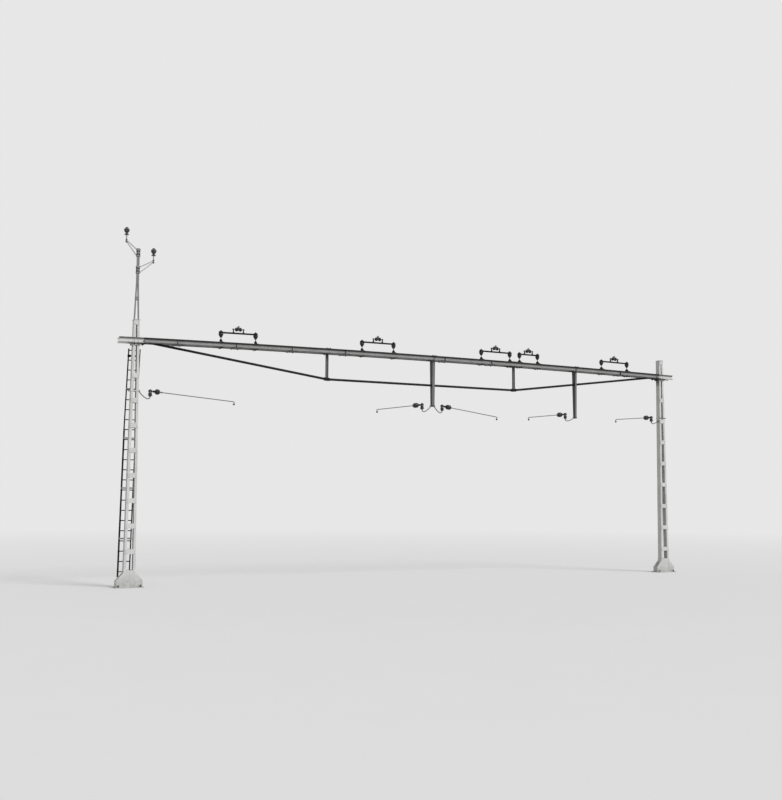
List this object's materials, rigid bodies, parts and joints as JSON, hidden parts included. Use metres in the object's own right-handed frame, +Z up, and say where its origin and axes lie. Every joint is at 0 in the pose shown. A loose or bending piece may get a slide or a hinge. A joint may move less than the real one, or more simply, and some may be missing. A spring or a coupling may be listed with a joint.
{
  "type": "railway catenary portal",
  "caption": "Steel railway catenary portal: tapered twin-channel masts, cambered beam with a tension rod, insulated wire carriers, steady arms, feeder extension and ladder.",
  "frame": {"origin": "on the underside of the left mast's base plate, on the mast's axis", "axes": "+X along the beam from the left mast to the right one, +Y along the tracks away from the viewer, +Z up"},
  "size_m": [23.14, 0.559, 12],
  "materials": {
    "white_paint": "aluminium-white paint, matt, weathered",
    "beam_paint": "dark grey paint, weathered",
    "dark_steel": "near-black paint, dusty",
    "galvanised_steel": "dull galvanised steel",
    "brown_porcelain": "dark brown glaze",
    "ladder_paint": "dark grey paint, worn on the rungs",
    "extension_paint": "grey paint, weathered"
  },
  "bodies": {
    "portal": {"left_base_plate": "white_paint", "left_foot_gussets": "white_paint", "left_mast_outer_channel": "white_paint", "left_mast_inner_channel": "white_paint", "left_mast_battens": "white_paint", "left_mast_cap": "white_paint", "right_base_plate": "white_paint", "right_foot_gussets": "white_paint", "right_mast_outer_channel": "white_paint", "right_mast_inner_channel": "white_paint", "right_mast_battens": "white_paint", "right_mast_cap": "white_paint", "beam_front_channel": "beam_paint", "beam_rear_channel": "beam_paint", "beam_tie_plates": "beam_paint", "beam_seats": "beam_paint", "tension_rods": "dark_steel", "rod_anchors": "dark_steel", "truss_posts": "beam_paint", "truss_shoes": "dark_steel", "drop_post_left_bars": "beam_paint", "drop_post_right_bars": "beam_paint", "drop_post_feet": "beam_paint", "carrier_feet": "dark_steel", "carrier_post_insulators": "brown_porcelain", "carrier_yokes": "dark_steel", "carrier_cross_insulators": "brown_porcelain", "messenger_clamps": "dark_steel", "steady_hooks": "galvanised_steel", "steady_yokes": "white_paint", "steady_stand_insulators": "brown_porcelain", "steady_clevises": "galvanised_steel", "extension_legs": "extension_paint", "feeder_brackets": "extension_paint", "feeder_insulators": "brown_porcelain", "ladder": "ladder_paint", "ladder_brackets": "ladder_paint"},
    "steady_arm_1_body": {"steady_arm_1": "galvanised_steel", "arm_insulator_1": "brown_porcelain"},
    "steady_arm_2_body": {"steady_arm_2": "galvanised_steel", "arm_insulator_2": "brown_porcelain"},
    "steady_arm_3_body": {"steady_arm_3": "galvanised_steel", "arm_insulator_3": "brown_porcelain"},
    "steady_arm_4_body": {"steady_arm_4": "galvanised_steel", "arm_insulator_4": "brown_porcelain"},
    "steady_arm_5_body": {"steady_arm_5": "galvanised_steel", "arm_insulator_5": "brown_porcelain"}
  },
  "joints": [
    {"name": "steady_arm_1_lift", "type": "hinge", "parent": "portal", "child": "steady_arm_1_body", "pos_m": [0.53, 0, 6.49], "axis": [0, -1, 0], "range_deg": [-12, 15]},
    {"name": "steady_arm_2_lift", "type": "hinge", "parent": "portal", "child": "steady_arm_2_body", "pos_m": [10.7294, 0, 6.49], "axis": [0, 1, 0], "range_deg": [-12, 15]},
    {"name": "steady_arm_3_lift", "type": "hinge", "parent": "portal", "child": "steady_arm_3_body", "pos_m": [11.5794, 0, 6.475], "axis": [0, -1, 0], "range_deg": [-12, 15]},
    {"name": "steady_arm_4_lift", "type": "hinge", "parent": "portal", "child": "steady_arm_4_body", "pos_m": [17.1806, 0, 6.39], "axis": [0, 1, 0], "range_deg": [-12, 15]},
    {"name": "steady_arm_5_lift", "type": "hinge", "parent": "portal", "child": "steady_arm_5_body", "pos_m": [21.51, 0, 6.435], "axis": [0, 1, 0], "range_deg": [-12, 15]}
  ]
}
